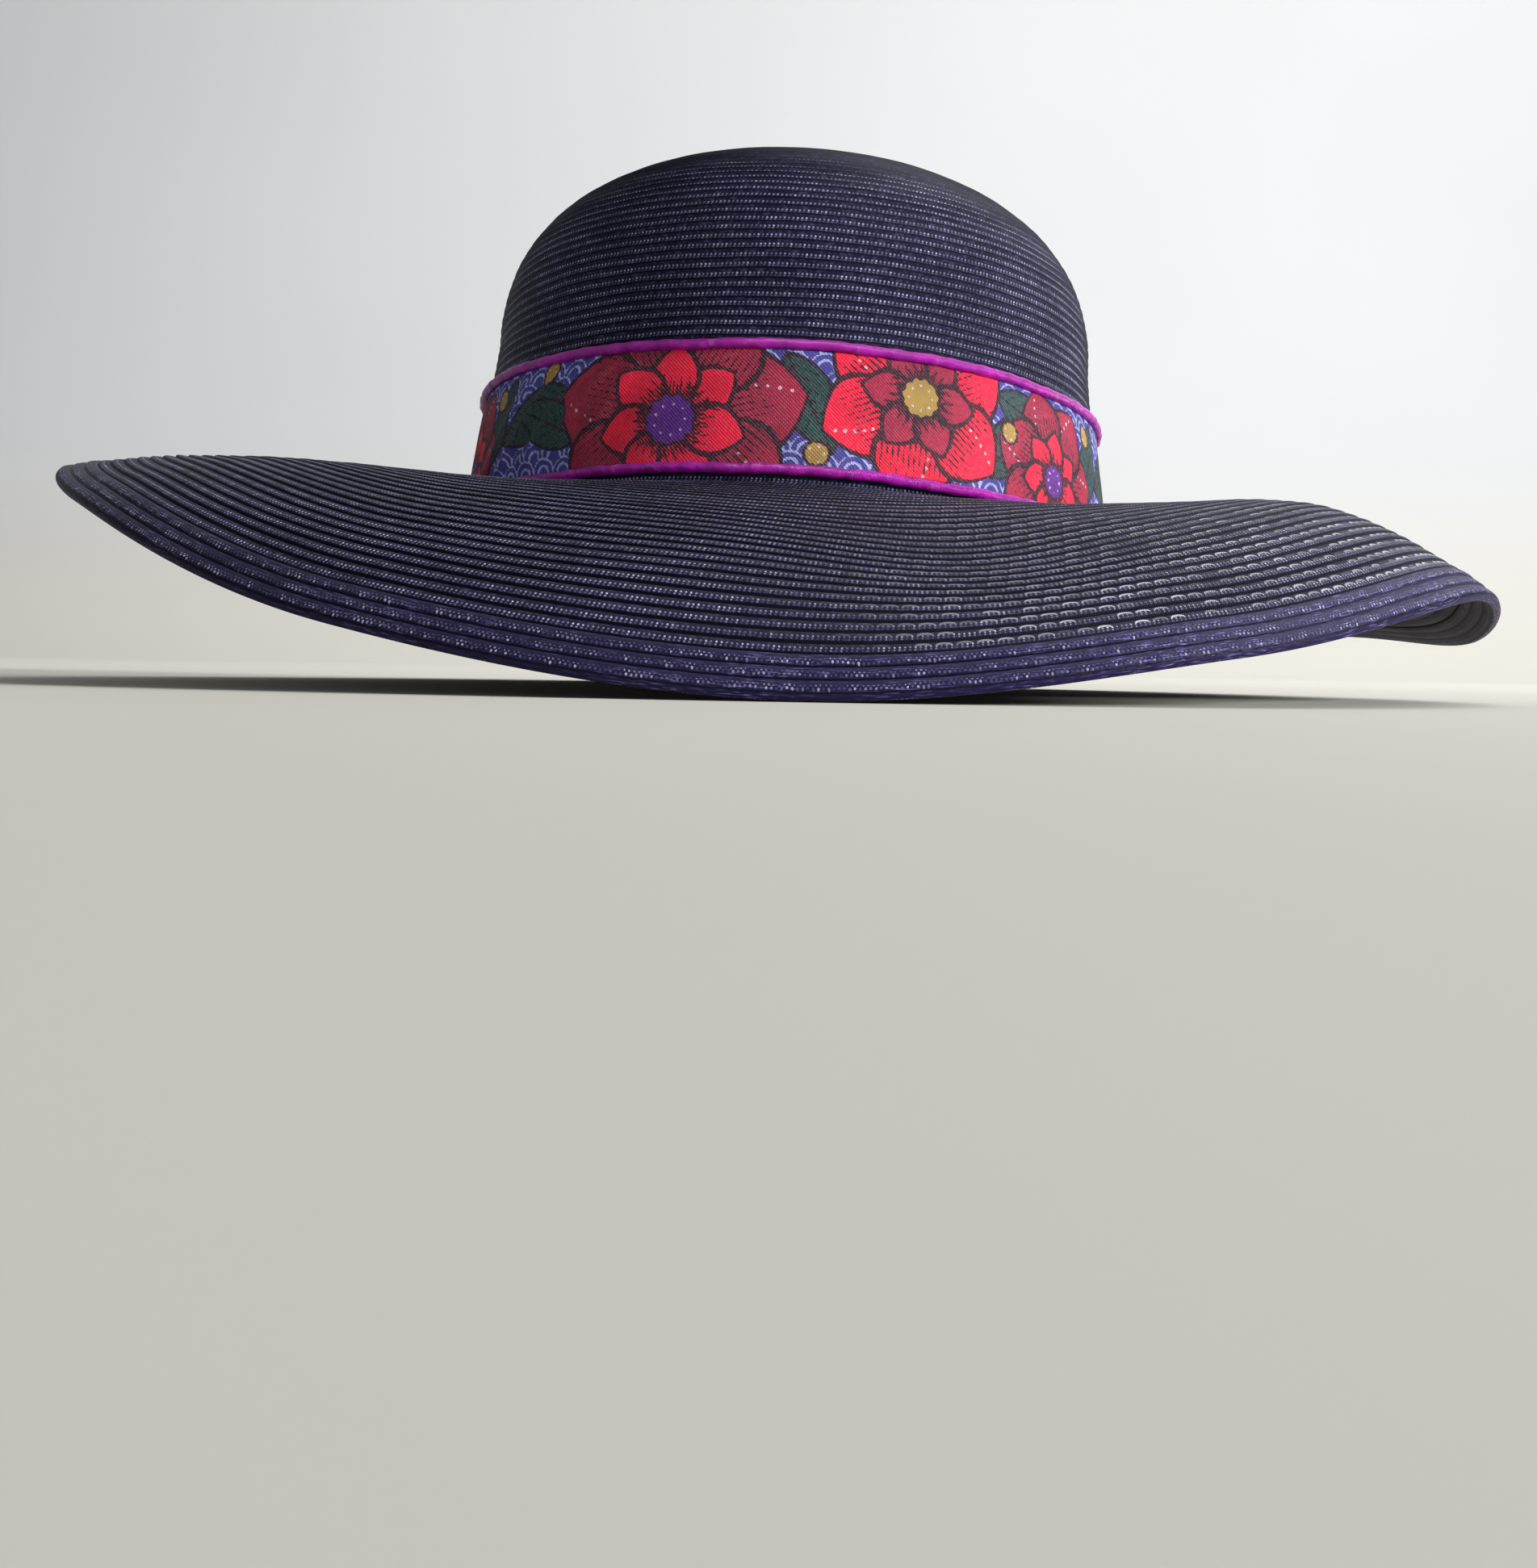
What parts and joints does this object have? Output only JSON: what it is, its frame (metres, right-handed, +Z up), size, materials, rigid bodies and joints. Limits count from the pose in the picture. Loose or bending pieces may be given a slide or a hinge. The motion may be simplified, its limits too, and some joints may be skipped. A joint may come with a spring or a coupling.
{
  "type": "wide-brim straw hat",
  "caption": "Wide-brim hat of sewn straw braid with a domed crown, a wavy turned-down brim and a cloth band with corded edges.",
  "frame": {"origin": "on the surface that the hat stands on, below the middle of its bounding box", "axes": "+Z up from that surface, -Y to the front of the hat, +X to the left of a wearer who faces -Y"},
  "size_m": [0.3824, 0.3976, 0.1414],
  "materials": {
    "straw_braid": "sewn braid with a soft sheen",
    "edge_braid": "doubled braid, glossier than the rest",
    "band_cloth": "matt printed twill",
    "piping_cloth": "matt twill cord"
  },
  "bodies": {
    "root": {"crown": "straw_braid", "brim": "straw_braid", "brim_edge": "edge_braid", "hat_band": "band_cloth", "piping_upper": "piping_cloth", "piping_lower": "piping_cloth"}
  },
  "joints": []
}
